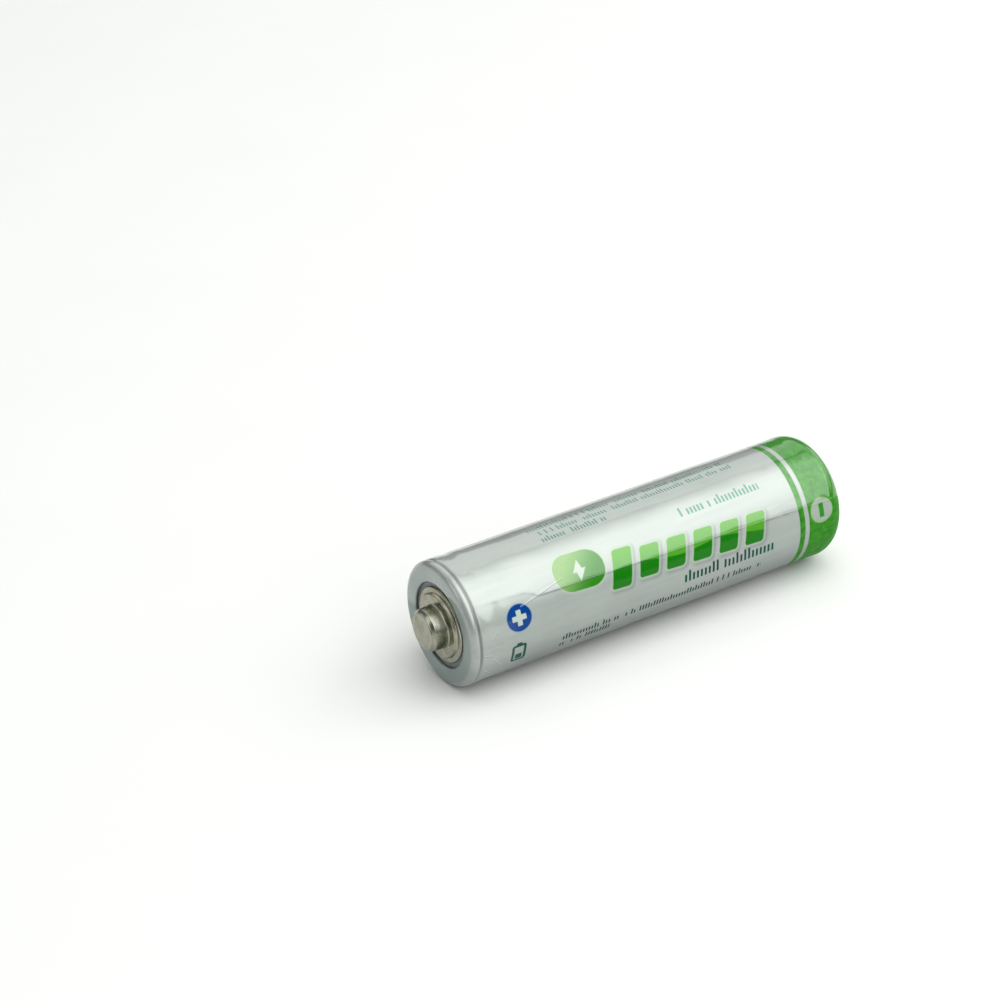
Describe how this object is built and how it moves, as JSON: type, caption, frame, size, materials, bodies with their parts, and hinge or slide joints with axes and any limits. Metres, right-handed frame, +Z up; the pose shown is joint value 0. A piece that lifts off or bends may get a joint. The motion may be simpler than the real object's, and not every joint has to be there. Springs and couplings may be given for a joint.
{
  "type": "cylindrical battery cell",
  "caption": "Round dry cell battery on its side, in a printed plastic sleeve, with a raised positive nub and a flat negative contact.",
  "frame": {"origin": "on the surface that the cell lies on, under its axis and under the middle of its length", "axes": "+X along the cell's axis, out of the negative contact, so the positive nub points along -X; +Z up; the printed front faces -Y"},
  "size_m": [0.0504, 0.0138, 0.0138],
  "materials": {
    "printed_film": "gloss",
    "nickel_plate": "satin",
    "closure_plastic": "matte",
    "bitumen": "satin",
    "carbon": "satin",
    "kraft_paper": "matte",
    "cathode_mix": "matte",
    "separator_paper": "matte",
    "zinc": "satin",
    "tinplate": "satin",
    "seal_plastic": "matte"
  },
  "bodies": {
    "root": {"printed_sleeve": "printed_film", "positive_cap": "nickel_plate", "top_closure": "closure_plastic", "can_sealant": "bitumen", "rod_sealant": "bitumen", "carbon_rod": "carbon", "mix_washer": "kraft_paper", "cathode_bobbin": "cathode_mix", "separator_paper": "separator_paper", "bottom_paper_cup": "kraft_paper", "zinc_can": "zinc", "negative_plate": "tinplate", "bottom_seal_ring": "seal_plastic"}
  },
  "joints": []
}
